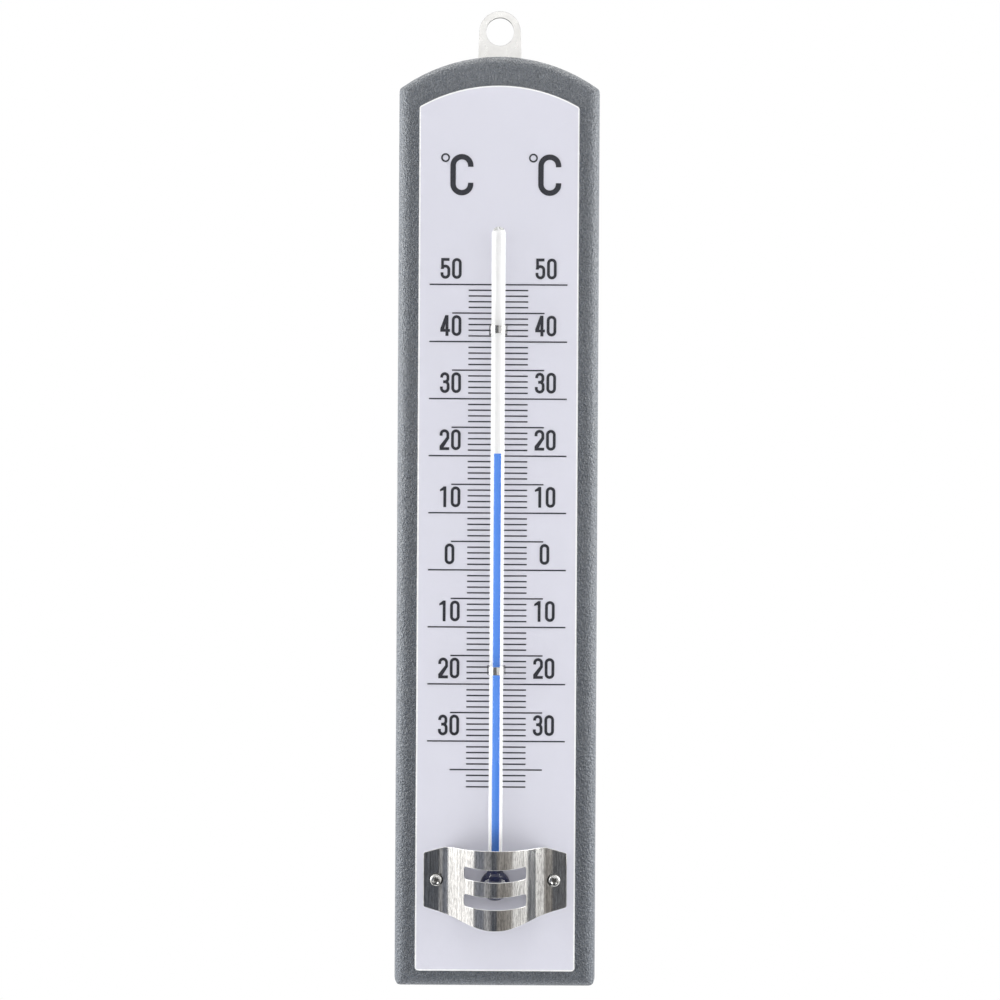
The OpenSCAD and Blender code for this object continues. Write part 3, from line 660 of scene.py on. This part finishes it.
class GuardForm:
    """The bent sheet of the guard: its section across the plate and its outline from the front."""

    def __init__(self, s):
        low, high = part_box("bulb_guard")
        self.t = s.sheet
        self.half_w = high.x
        self.bulge = s.bulge_width / 2
        self.bend = s.bend_radius
        mid = PLATE_FACE - low.y - self.t / 2
        rise = mid - self.t / 2
        self.crown = (self.bulge**2 + rise**2) / (2 * rise) - self.bend
        self.crown_at = mid - self.crown
        self.lean = math.asin(self.bulge / (self.bend + self.crown))
        self.corner = s.ear_corner
        self.half_ear = s.ear_height / 2
        self.flat_top = s.top_width / 2
        self.top = high.z - SCREW_LINE
        self.nose_r = s.nose_radius
        self.nose_z = low.z - SCREW_LINE + self.nose_r
        reach = math.hypot(self.half_w, self.half_ear + self.nose_z)
        toward = math.atan2(-self.half_ear - self.nose_z, self.half_w)
        nose_end = toward - math.acos(self.nose_r / reach)
        self.touch = self.nose_r * math.cos(nose_end)
        self.touch_z = self.nose_z + self.nose_r * math.sin(nose_end)
        self.slot_half = s.slot_length / 2
        self.slot_h = s.slot_height
        self.slot_corner = s.slot_corner
        self.bow = s.slot_bow
        self.slots = [-s.slot_drop + side * s.slot_pitch / 2 for side in (-1, 1)]

    def forward(self, x, side):
        """Distance of the sheet's front (side 1) or back (side -1) from the plate."""
        u = abs(x)
        outer = self.crown + side * self.t / 2
        inner = self.bend - side * self.t / 2
        if u <= outer * math.sin(self.lean):
            return self.crown_at + math.sqrt(outer**2 - u**2)
        if u < self.bulge:
            return self.t / 2 + self.bend - math.sqrt(inner**2 - (self.bulge - u) ** 2)
        return self.t / 2 + side * self.t / 2

    def lowest(self, x):
        """Lower edge of the sheet, above the line of the screws."""
        u = abs(x)
        if u <= self.touch:
            return self.nose_z - math.sqrt(self.nose_r**2 - u**2)
        slope = (-self.half_ear - self.touch_z) / (self.half_w - self.touch)
        return self.straight_to_ear(u, slope, -1)

    def highest(self, x):
        """Upper edge of the sheet, above the line of the screws."""
        u = abs(x)
        if u <= self.flat_top:
            return self.top
        slope = (self.half_ear - self.top) / (self.half_w - self.flat_top)
        return self.straight_to_ear(u, slope, 1)

    def straight_to_ear(self, u, slope, side):
        """Upper (side 1) or lower (side -1) edge that runs straight into an ear's round corner."""
        r = self.corner
        steep = math.hypot(1, slope)
        turn_u = self.half_w - r
        turn_z = side * (self.half_ear - r * steep) - slope * r
        if u <= turn_u - side * slope * r / steep:
            return side * self.half_ear + slope * (u - self.half_w)
        return turn_z + side * math.sqrt(max(r**2 - (u - turn_u) ** 2, 0))

    def slot_edges(self, x):
        """Lower and upper edge of an air slot, which bows upward at its ends."""
        u = min(abs(x), self.slot_half)
        into = max(u - self.slot_half + self.slot_corner, 0)
        inset = self.slot_corner - math.sqrt(self.slot_corner**2 - into**2)
        low = self.bow - math.sqrt((self.bow + self.slot_h / 2) ** 2 - u**2)
        high = self.bow - math.sqrt((self.bow - self.slot_h / 2) ** 2 - u**2)
        return low + inset, high - inset

    def columns(self):
        """Places across the sheet, close together where it bends or its outline turns."""
        lean = math.degrees(self.lean)
        crown_steps, bend_steps, ear_steps = 26, 16, 6
        room_by_slot, least_room = 0.3 * MM, 0.17 * MM
        places = [x for _, x in arc((0, 0), self.crown, 0, lean, crown_steps)]
        places += [self.bulge - x for _, x in arc((0, 0), self.bend, 0, lean, bend_steps)]
        for corner, outer in ((self.slot_corner, self.slot_half), (self.corner, self.half_w)):
            places += [outer - corner * share for share in (0.2, 0.4, 0.7, 1.0)]
        ear = self.half_w - self.bulge
        places += [self.bulge + ear * i / ear_steps for i in range(ear_steps)]
        kept = sorted([0.0, self.slot_half, self.flat_top, self.bulge, self.half_w])
        for x in sorted(places):
            room = room_by_slot if self.slot_half < x < self.slot_half + MM else least_room
            if all(abs(x - other) > room for other in kept):
                kept.append(x)
        kept.sort()
        return [-x for x in reversed(kept[1:])] + kept

    def mesh(self):
        """Front and back faces with their edges, open at the air slots."""
        columns = self.columns()
        points = []
        index = {}
        for i, x in enumerate(columns):
            under, over = self.slot_edges(x)
            rows = [self.lowest(x)]
            for centre in self.slots:
                rows += [centre + under, centre + over]
            rows.append(self.highest(x))
            for side in (1, -1):
                y = PLATE_FACE - self.forward(x, side)
                for j, z in enumerate(rows):
                    index[i, j, side] = len(points)
                    points.append((x, y, SCREW_LINE + z))
        faces = []
        last = len(columns) - 1
        top = len(rows) - 1
        slot_rows = (1, 3)

        def cut(i, j):
            inside = abs(columns[i] + columns[i + 1]) / 2 < self.slot_half
            return j in slot_rows and inside

        def face(*corners):
            faces.append([index[corner] for corner in corners])

        def wall(i, j, k, m):
            face((i, j, 1), (k, m, 1), (k, m, -1), (i, j, -1))

        for i in range(last):
            for j in range(top):
                if cut(i, j):
                    wall(i, j, i + 1, j)
                    wall(i, j + 1, i + 1, j + 1)
                    continue
                for side in (1, -1):
                    face((i, j, side), (i + 1, j, side), (i + 1, j + 1, side), (i, j + 1, side))
            wall(i, 0, i + 1, 0)
            wall(i, top, i + 1, top)
        for j in range(top):
            wall(0, j, 0, j + 1)
            wall(last, j, last, j + 1)
        for j in slot_rows:
            for i in range(1, last):
                if cut(i, j) != cut(i - 1, j):
                    wall(i, j, i, j + 1)
        return mesh_of("guard_sheet", points, faces)


def cutter(name, mesh):
    """A tool body for a cut, out of sight."""
    tool = new_object(name, mesh)
    tool.hide_render = True
    return tool


def cut_away(piece, tools):
    """Cuts tool bodies out of a piece and clears them away."""
    for tool in tools:
        cut = piece.modifiers.new("cut", "BOOLEAN")
        cut.operation = "DIFFERENCE"
        cut.solver = "EXACT"
        cut.object = tool
    made_final(piece)
    for tool in tools:
        bpy.data.objects.remove(tool)


def standing_on_plate(x, y):
    """Turns a form built along +Z to point out of the plate, on the line of the screws."""
    return Matrix.Translation((x, y, SCREW_LINE)) @ Matrix.Rotation(math.radians(90), 4, "X")


def screw_outline():
    """Half outline of a guard screw, from its point to its crown. Its head starts at height 0."""
    tip = SCREW_SEAT - SCREW_HIGH.y
    reach = math.radians(CROWN_REACH)
    crown_r = HEAD_R * CROWN_SHARE
    round_r = (HEAD_R - crown_r * math.sin(reach)) / (1 - math.sin(reach))
    turn_z = HEAD_H - crown_r + (crown_r - round_r) * math.cos(reach)
    rim = arc((HEAD_R - round_r, turn_z), round_r, 0, 90 - CROWN_REACH, 8)
    crown = arc((0, HEAD_H - crown_r), crown_r, 90 - CROWN_REACH, 90, 8)
    shank = [(0.0, tip), (POINT_R, tip + 0.1 * MM), (SHANK_R, tip + POINT_L), (SHANK_R, 0.0)]
    edge = [(HEAD_R - HEAD_EDGE, 0.0), (HEAD_R, HEAD_EDGE)]
    return [*shank, *edge, *rim, *crown[1:-1], (0.0, HEAD_H)]


def cross_recess(placed, turn, s):
    """The tapering cross of a screw head, two crossed wedges."""
    tools = []
    mouth = (HEAD_H + 0.3 * MM, s.cross_width * 1.2, s.cross_length * 1.15)
    bottom = (HEAD_H - s.cross_depth, s.cross_width * 0.62, s.cross_length * 0.5)
    for arm in (0, 90):
        spun = placed @ Matrix.Rotation(math.radians(turn + arm), 4, "Z")
        rings = [
            [spun @ Vector((x * length / 2, y * width / 2, height)) for x, y in SQUARE]
            for height, width, length in (mouth, bottom)
        ]
        tools.append(cutter("wedge", lofted("wedge", rings)))
    return tools


# Settings

def measure(name, description, default):
    """A length, its default in millimetres."""
    return FloatProperty(
        name=name, description=description, default=default * MM, precision=5,
        subtype="DISTANCE", unit="LENGTH",
    )


def level(name, description, default, most=1):
    """A plain number from nought up."""
    return FloatProperty(name=name, description=description, default=default, min=0, max=most)


def angle(name, description, default):
    """An angle, its default in degrees."""
    return FloatProperty(
        name=name, description=description, default=math.radians(default),
        subtype="ANGLE", unit="ROTATION",
    )


def tint(name, description, default):
    """A colour, as three numbers between 0 and 1."""
    return FloatVectorProperty(
        name=name, description=description, default=default, subtype="COLOR", size=3, min=0, max=1
    )


class BoardSettings(bpy.types.PropertyGroup):
    """Painted board."""

    paint_colour: tint("Paint", "Colour of the paint", (0.074, 0.086, 0.105))
    paint_roughness: level("Dullness", "How dull the paint is", 0.3)
    pebble_size: measure("Pebbles", "Width of the pebbles in the paint", 0.9)
    pebble_height: measure("Relief", "Height of the pebbles", 0.35)


class PlateSettings(bpy.types.PropertyGroup):
    """Printed plate."""

    plate_colour: tint("Plate", "Colour of the enamel", (0.745, 0.745, 0.83))
    plate_roughness: level("Dullness", "How dull the enamel is", 0.16)
    rim: measure("Rim", "Width of the turned edge of the plate", 0.35)
    # Bare rim: the whiter edge is a painted highlight along the plate's rim.
    rim_highlight_width: measure("Bare rim", "Width of the whiter edge that the print leaves bare", 0.65)
    ink_colour: tint("Ink", "Colour of the print", (0.018, 0.019, 0.028))


class TubeSettings(bpy.types.PropertyGroup):
    """Glass tube and what it holds."""

    glass_colour: tint("Glass", "Tint of the glass", (1.0, 1.0, 1.0))
    spirit_colour: tint("Spirit", "Colour of the thread of spirit", (0.125, 0.3, 0.82))
    bulk_colour: tint("Spirit in the bulb", "Colour of the spirit in bulk", (0.01, 0.012, 0.036))
    neck_radius: measure("Neck", "Radius of the neck between stem and bulb", 3.0)
    facets: IntProperty(
        name="Roundness", description="Segments round the glass", min=24, max=256, default=96,
    )


class GuardSettings(bpy.types.PropertyGroup):
    """Bent sheet over the bulb."""

    sheet_colour: tint("Sheet", "Colour of the sheet", (0.6, 0.595, 0.588))
    sheet_roughness: level("Dullness", "How dull the sheet is", 0.06)
    grain_length: level("Grain", "How much the grain is drawn out upright; less is longer", 0.02)
    grain_depth: measure("Grain depth", "Depth of the grain", 0.012)
    sheet: measure("Thickness", "Thickness of the sheet", GUARD_T)
    bulge_width: measure("Bulge", "Width of the bulge between the ears", 47.0)
    bend_radius: measure("Bend", "Radius of the bend from ear to bulge", 11.4)
    ear_height: measure("Ear", "Height of the outer edge of an ear", 22.0)
    ear_corner: measure("Ear corner", "Radius of the corners of the ears", 1.0)
    top_width: measure("Top edge", "Width of the straight top edge", 41.0)
    nose_radius: measure("Nose", "Radius of the rounded bottom", 27.0)
    slot_length: measure("Slot length", "Length of the air slots", 25.0)
    slot_height: measure("Slot height", "Height of the air slots", 4.9)
    slot_corner: measure("Slot corner", "Radius of the corners of the air slots", 0.9)
    slot_bow: measure("Slot bow", "Radius of the air slots along their middle", 80.0)
    slot_pitch: measure("Slot distance", "Distance between the air slots", 11.0)
    slot_drop: measure("Slot drop", "Middle of the slots below the line of the screws", 2.3)


class HardwareSettings(bpy.types.PropertyGroup):
    """Clips, screws, hanger and nails."""

    plating_colour: tint("Plating", "Colour of clips and screws", (0.68, 0.675, 0.665))
    tab_colour: tint("Hanger", "Colour of the hanger", (0.9, 0.89, 0.87))
    cross_width: measure("Cross width", "Width of the arms of the cross", 1.0)
    cross_length: measure("Cross length", "Length of the arms, end to end", 3.3)
    cross_depth: measure("Cross depth", "Depth of the cross", 1.1)


class StudioSettings(bpy.types.PropertyGroup):
    """Camera and light."""

    camera_distance: measure("Distance", "Camera to the face of the plate", 800)
    camera_height: measure("Height", "Height of the camera in the frame", -190.4)
    camera_side: measure("Side", "Camera to the right of the centre of the plate", 1.1)
    tilt: angle("Tilt", "How far the camera looks down", 0.17)
    roll: angle("Roll", "How far the camera leans to the left", 0.335)
    pixel: measure("Pixel", "Width of a thousandth of the picture, at the plate", 0.4065)
    room_light: level("Room", "Strength of the light from all round", 0.48, most=4)
    left_light: level("Left", "Brightness of the soft box at the left", 6.8, most=20)
    right_light: level("Right", "Brightness of the soft box behind and to the right", 6.0, most=20)
    top_light: level("Top", "Brightness of the soft box above", 2.4, most=20)


# Operators

class Dressing(bpy.types.Operator):
    """Shared options of the operators that dress a piece"""

    bl_options = {"REGISTER", "UNDO"}


class THERMO_OT_board(Dressing):
    """Paints the board"""

    bl_idname = "thermo.board"
    bl_label = "Board"

    def execute(self, context):
        dress("back_board", textured_paint(context.scene.thermo_board))
        return {"FINISHED"}


class THERMO_OT_plate(Dressing):
    """Enamels the plate and turns its rim"""

    bl_idname = "thermo.plate"
    bl_label = "Scale plate"

    def execute(self, context):
        s = context.scene.thermo_plate
        ease_edges(dress("scale_plate", white_plate(s)), s.rim, segments=3)
        return {"FINISHED"}


class THERMO_OT_tapes(Dressing):
    """Finishes the two strips of tape behind the plate"""

    bl_idname = "thermo.tapes"
    bl_label = "Tapes"

    def execute(self, context):
        foam = foam_tape()
        for name in ("plate_tape_left", "plate_tape_right"):
            ease_edges(dress(name, foam), 0.05 * MM)
        return {"FINISHED"}


class THERMO_OT_print(Dressing):
    """Inks the degree lines, the figures and the unit signs"""

    bl_idname = "thermo.print"
    bl_label = "Print"

    def execute(self, context):
        ink = printing_ink(context.scene.thermo_plate)
        for group in ("degree_lines", "scale_figures", "unit_sign"):
            for side in ("left", "right"):
                dress(f"{group}_{side}", ink)
        return {"FINISHED"}


class THERMO_OT_glass(Dressing):
    """Blows the tube and its bulb as clear glass"""

    bl_idname = "thermo.glass"
    bl_label = "Glass tube"

    def execute(self, context):
        s = context.scene.thermo_tube
        placed = Matrix.Translation((0, BULB.y, 0))
        mesh = turned("blown_tube", glass_outline(s.neck_radius), s.facets, placed)
        new_piece("blown_tube", mesh, FIXED, drawn_glass(s), "glass_tube")
        return {"FINISHED"}


class THERMO_OT_enamel(Dressing):
    """Whitens the strip behind the bore"""

    bl_idname = "thermo.enamel"
    bl_label = "Enamel strip"

    def execute(self, context):
        dress("enamel_strip", fused_enamel())
        return {"FINISHED"}


class THERMO_OT_spirit(Dressing):
    """Fills the bulb and draws the thread of spirit, which stretches as it rises"""

    bl_idname = "thermo.spirit"
    bl_label = "Spirit"

    def execute(self, context):
        s = context.scene.thermo_tube
        dress("spirit_reservoir", spirit_in_bulk(s))
        thread = new_piece(
            "spirit_thread", thread_mesh(), None, dyed_spirit(s), "spirit_column"
        )
        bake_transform(thread)
        return {"FINISHED"}


class THERMO_OT_clips(Dressing):
    """Plates the two clips that hold the tube"""

    bl_idname = "thermo.clips"
    bl_label = "Clips"

    def execute(self, context):
        plating = plated_strip(context.scene.thermo_hardware)
        for name in ("upper_clip", "lower_clip"):
            ease_edges(dress(name, plating), 0.1 * MM)
        return {"FINISHED"}


class THERMO_OT_guard(Dressing):
    """Bends the guard from sheet, with its air slots and eased edges"""

    bl_idname = "thermo.guard"
    bl_label = "Bulb guard"

    def execute(self, context):
        s = context.scene.thermo_guard
        guard = new_piece(
            "guard_sheet", GuardForm(s).mesh(), None, drawn_sheet(s), "bulb_guard"
        )
        made_final(ease_edges(guard, 0.19 * MM, clamp=False))
        cuts = []
        bores = (("drill", GUARD_HOLE_R, -MM), ("seat", HEAD_R + SEAT_RIM, s.sheet))
        for side in (-1, 1):
            placed = standing_on_plate(side * SCREW_X, PLATE_FACE)
            for name, radius, low in bores:
                outline = [(0.0, low), (radius, low), (radius, CLEAR), (0.0, CLEAR)]
                cuts.append(cutter(name, turned(name, outline, ROUND, placed)))
        cut_away(guard, cuts)
        even_shading(guard, keep_sharp=True)
        made_final(guard)
        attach(guard, FIXED)
        return {"FINISHED"}


class THERMO_OT_screws(Dressing):
    """Turns the two guard screws and sinks their crosses"""

    bl_idname = "thermo.screws"
    bl_label = "Guard screws"

    def execute(self, context):
        s = context.scene.thermo_hardware
        plating = screw_plating(s)
        outline = screw_outline()
        for side, turn, name in ((-1, 30, "guard_screw_left"), (1, 42, "guard_screw_right")):
            placed = standing_on_plate(side * SCREW_X, SCREW_SEAT)
            mesh = turned(name, outline, ROUND, placed)
            screw = new_piece(f"{name}_turned", mesh, None, plating, name)
            cut_away(screw, cross_recess(placed, turn, s))
            ease_edges(screw, 0.05 * MM, sharp=40)
            made_final(screw)
            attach(screw, FIXED)
        return {"FINISHED"}


class THERMO_OT_hanger(Dressing):
    """Finishes the hanging tab"""

    bl_idname = "thermo.hanger"
    bl_label = "Hanger"

    def execute(self, context):
        tab = dress("hanger", tab_sheet(context.scene.thermo_hardware))
        ease_edges(tab, 0.2 * MM, whole_flats=True)
        return {"FINISHED"}


class THERMO_OT_nails(Dressing):
    """Finishes the two nails of the hanger"""

    bl_idname = "thermo.nails"
    bl_label = "Nails"

    def execute(self, context):
        wire = nail_wire()
        for name in ("hanger_nail_upper", "hanger_nail_lower"):
            ease_edges(dress(name, wire), 0.12 * MM)
        return {"FINISHED"}


def stage_sheet(name, points, faces, material):
    """A floor or a card, which isn't part of the object."""
    mesh = bpy.data.meshes.new(name)
    mesh.from_pydata(points, [], faces)
    mesh.materials.append(material)
    sheet = new_object(name, mesh)
    return sheet


def blank_nodes(owner):
    """The nodes of a material or of the world, emptied."""
    nodes = Nodes(owner)
    nodes.tree.nodes.clear()
    return nodes


def glowing(name, colour):
    """A surface that shows a colour by its own light."""
    material = bpy.data.materials.new(name)
    nodes = blank_nodes(material)
    glow = nodes.add("ShaderNodeEmission", sockets={"Color": rgba(colour), "Strength": 1.0})
    nodes.add("ShaderNodeOutputMaterial", sockets={"Surface": glow})
    return material


def round_object(turn, radius, height):
    """A place at an angle round the object in degrees: 0 is in front, more is to its right."""
    centre = middle("back_board")
    turn = math.radians(turn)
    return Vector(
        (centre.x + radius * math.sin(turn), centre.y - radius * math.cos(turn), height)
    )


def hide_from(thing, *rays):
    """Hides a card or a lamp from rays of some kinds."""
    for kind in rays:
        setattr(thing, f"visible_{kind}", False)


def card(name, start, end, low, high, colour, radii=(1.5, 1.5)):
    """A card, curved round the object, that only shows in what is shiny.

    It runs from one angle to another, and from a low edge to a high one, each at its radius.
    """
    steps = 12
    points = []
    for i in range(steps + 1):
        turn = start + (end - start) * i / steps
        points += [round_object(turn, radii[0], low), round_object(turn, radii[1], high)]
    faces = [(2 * i, 2 * i + 2, 2 * i + 3, 2 * i + 1) for i in range(steps)]
    sheet = stage_sheet(f"card_{name}", points, faces, glowing(f"card_{name}", colour))
    hide_from(sheet, "camera", "diffuse", "transmission", "shadow")


def soft_box(name, place, target, width, tall, brightness):
    """A soft lamp that faces a target. Brightness 1 looks as white as the background."""
    light = bpy.data.lights.new(name, "AREA")
    light.shape = "RECTANGLE"
    light.size = width
    light.size_y = tall
    light.energy = brightness * math.pi * width * tall
    holder = new_object(name, light)
    holder.location = place
    holder.rotation_mode = "QUATERNION"
    holder.rotation_quaternion = (target - holder.location).to_track_quat("-Z", "Y")
    hide_from(holder, "camera", "glossy")


class THERMO_OT_studio(Dressing):
    """Sets the camera, the room, the lamps, the cards and the floor"""

    bl_idname = "thermo.studio"
    bl_label = "Studio"

    def execute(self, context):
        s = context.scene.thermo_studio
        self.camera(context.scene, s)
        self.room(context.scene, s)
        self.lamps(s)
        self.cards()
        self.floor()
        context.scene.view_settings.view_transform = "Standard"
        return {"FINISHED"}

    def lamps(self, s):
        height = -0.3
        axis = round_object(0, 0, height)
        soft_box("left_box", round_object(-94, 1.3, height), axis, 1.2, 1.7, s.left_light)
        soft_box("right_box", round_object(92, 1.3, height), axis, 1.1, 1.7, s.right_light)
        above = round_object(-20, 0.5, 1.1)
        soft_box("top_box", above, middle("back_board"), 1.1, 0.8, s.top_light)

    def cards(self):
        # Heights of the cards' edges, and the radii of the nearer cards
        floor, clips, guard = -0.92, -0.5, -0.45
        top, tab, band, over = 0.1, 0.32, 0.36, 0.75
        near = (1.1, 1.1)
        card("left_bright", -125, -49.5, floor, guard, (1.5, 1.48, 1.45), near)
        card("left_shine", -130, -50, guard, band, (4.7, 4.7, 4.6), near)
        card("left_dim", -104, -84, band, over, (0.8, 0.8, 0.8), near)
        card("left_high", -84, -60, band, 0.9, (5.0, 5.0, 4.95), near)
        card("left", -49.5, -25, floor, top, (0.23, 0.245, 0.285))
        card("gap", -25, -10, floor, clips, (0.48, 0.48, 0.49))
        card("gap_upper", -25, -10, clips, top, (0.14, 0.14, 0.14))
        card("centre", -10, 5, floor, clips, (0.1, 0.11, 0.13))
        card("centre_upper", -10, 5, clips, top, (0.24, 0.24, 0.23))
        card("brown", 5, 40, floor, clips, (0.33, 0.31, 0.285))
        card("right_bright", 40, 80, floor, guard, (1.0, 0.99, 0.97), near)
        card("edge", 80, 95.5, floor, guard, (0.12, 0.13, 0.15), near)
        card("far_bright", 95.5, 130, floor, guard, (1.5, 1.5, 1.5), near)
        card("right_dim", 40, 54, guard, band, (1.0, 1.0, 1.0), near)
        card("right_dim_high", 84, 104, band, over, (0.8, 0.8, 0.8), near)
        card("right_shine", 54, 130, guard, band, (4.8, 4.8, 4.7), near)
        card("right_high", 60, 84, band, 0.9, (5.0, 5.0, 4.95), near)
        card("under", -60, 50, floor, floor, (0.07, 0.072, 0.08), (0.3, 1.5))
        card("over", -50, 40, over, 1.6, (0.1, 0.1, 0.11), (1.5, 1.1))
        card("sky", 90, 270, 1.3, 1.3, (4.8, 4.8, 4.7), (0.02, 1.2))
        card("top", -49.5, 40, top, tab, (0.09, 0.09, 0.1))
        card("tab", -45, 45, tab, over, (1.9, 1.9, 1.89))

    def camera(self, scene, s):
        view = bpy.data.cameras.new("view")
        view.lens = view.sensor_width * s.camera_distance / (s.pixel * 1000)
        view.clip_start = 0.01
        view.clip_end = 50
        holder = new_object("view", view)
        holder.matrix_world = (
            Matrix.Translation((s.camera_side, PLATE_FACE - s.camera_distance, s.camera_height))
            @ Matrix.Rotation(math.radians(90) - s.tilt, 4, "X")
            @ Matrix.Rotation(s.roll, 4, "Z")
        )
        scene.camera = holder

    def room(self, scene, s):
        scene.world = bpy.data.worlds.new("room")
        nodes = blank_nodes(scene.world)
        light, white = (
            nodes.add("ShaderNodeBackground", sockets={"Color": (1, 1, 1, 1), "Strength": strength})
            for strength in (s.room_light, 1.0)
        )
        shares = {0: nodes.seen_directly(), 1: light, 2: white}
        both = nodes.add("ShaderNodeMixShader", sockets=shares)
        nodes.add("ShaderNodeOutputWorld", sockets={"Surface": both})

    def floor(self):
        pale = Surface("pale_floor", roughness=0.9, specular_ior_level=0.2)
        drift = pale.noise(0.4)
        pale.paint(base_color=pale.blend(drift, rgba((0.93, 0.93, 0.93)), rgba((0.9, 0.9, 0.905))))
        away = (pale.along("X") ** 2.0 + pale.along("Y") ** 2.0).root()
        share = pale.seen_directly() * away.between(0.3, 1.3)
        far = pale.add("ShaderNodeEmission", sockets={"Color": (1, 1, 1, 1), "Strength": 1.0})
        shown = pale.show(pale.shader_mix(share, far))
        size = 6.0
        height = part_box("back_board")[0].z - 0.55
        points = [(x * size, y * size, height) for x, y in SQUARE]
        stage_sheet("floor", points, [(0, 1, 2, 3)], shown)


class THERMO_PT_panel(bpy.types.Panel):
    """Lists the operators and the settings"""

    bl_idname = "THERMO_PT_panel"
    bl_label = "Garden thermometer"
    bl_space_type = "VIEW_3D"
    bl_region_type = "UI"
    bl_category = "Thermometer"

    def draw(self, context):
        for operator in OPERATORS:
            self.layout.operator(operator.bl_idname)
        for name, group in SETTINGS.items():
            box = self.layout.box()
            box.label(text=group.__doc__)
            for setting in group.__annotations__:
                box.prop(getattr(context.scene, name), setting)


SETTINGS = {
    "thermo_board": BoardSettings,
    "thermo_plate": PlateSettings,
    "thermo_tube": TubeSettings,
    "thermo_guard": GuardSettings,
    "thermo_hardware": HardwareSettings,
    "thermo_studio": StudioSettings,
}
OPERATORS = (
    THERMO_OT_studio,
    THERMO_OT_board,
    THERMO_OT_plate,
    THERMO_OT_tapes,
    THERMO_OT_print,
    THERMO_OT_glass,
    THERMO_OT_enamel,
    THERMO_OT_spirit,
    THERMO_OT_clips,
    THERMO_OT_guard,
    THERMO_OT_screws,
    THERMO_OT_hanger,
    THERMO_OT_nails,
)
CLASSES = (*SETTINGS.values(), *OPERATORS, THERMO_PT_panel)


def register():
    for cls in CLASSES:
        bpy.utils.register_class(cls)
    for name, group in SETTINGS.items():
        setattr(bpy.types.Scene, name, PointerProperty(type=group))


def unregister():
    for name in SETTINGS:
        delattr(bpy.types.Scene, name)
    for cls in reversed(CLASSES):
        bpy.utils.unregister_class(cls)


def main():
    register()
    for operator in OPERATORS:
        family, action = operator.bl_idname.split(".")
        getattr(getattr(bpy.ops, family), action)()


if __name__ == "__main__":
    main()
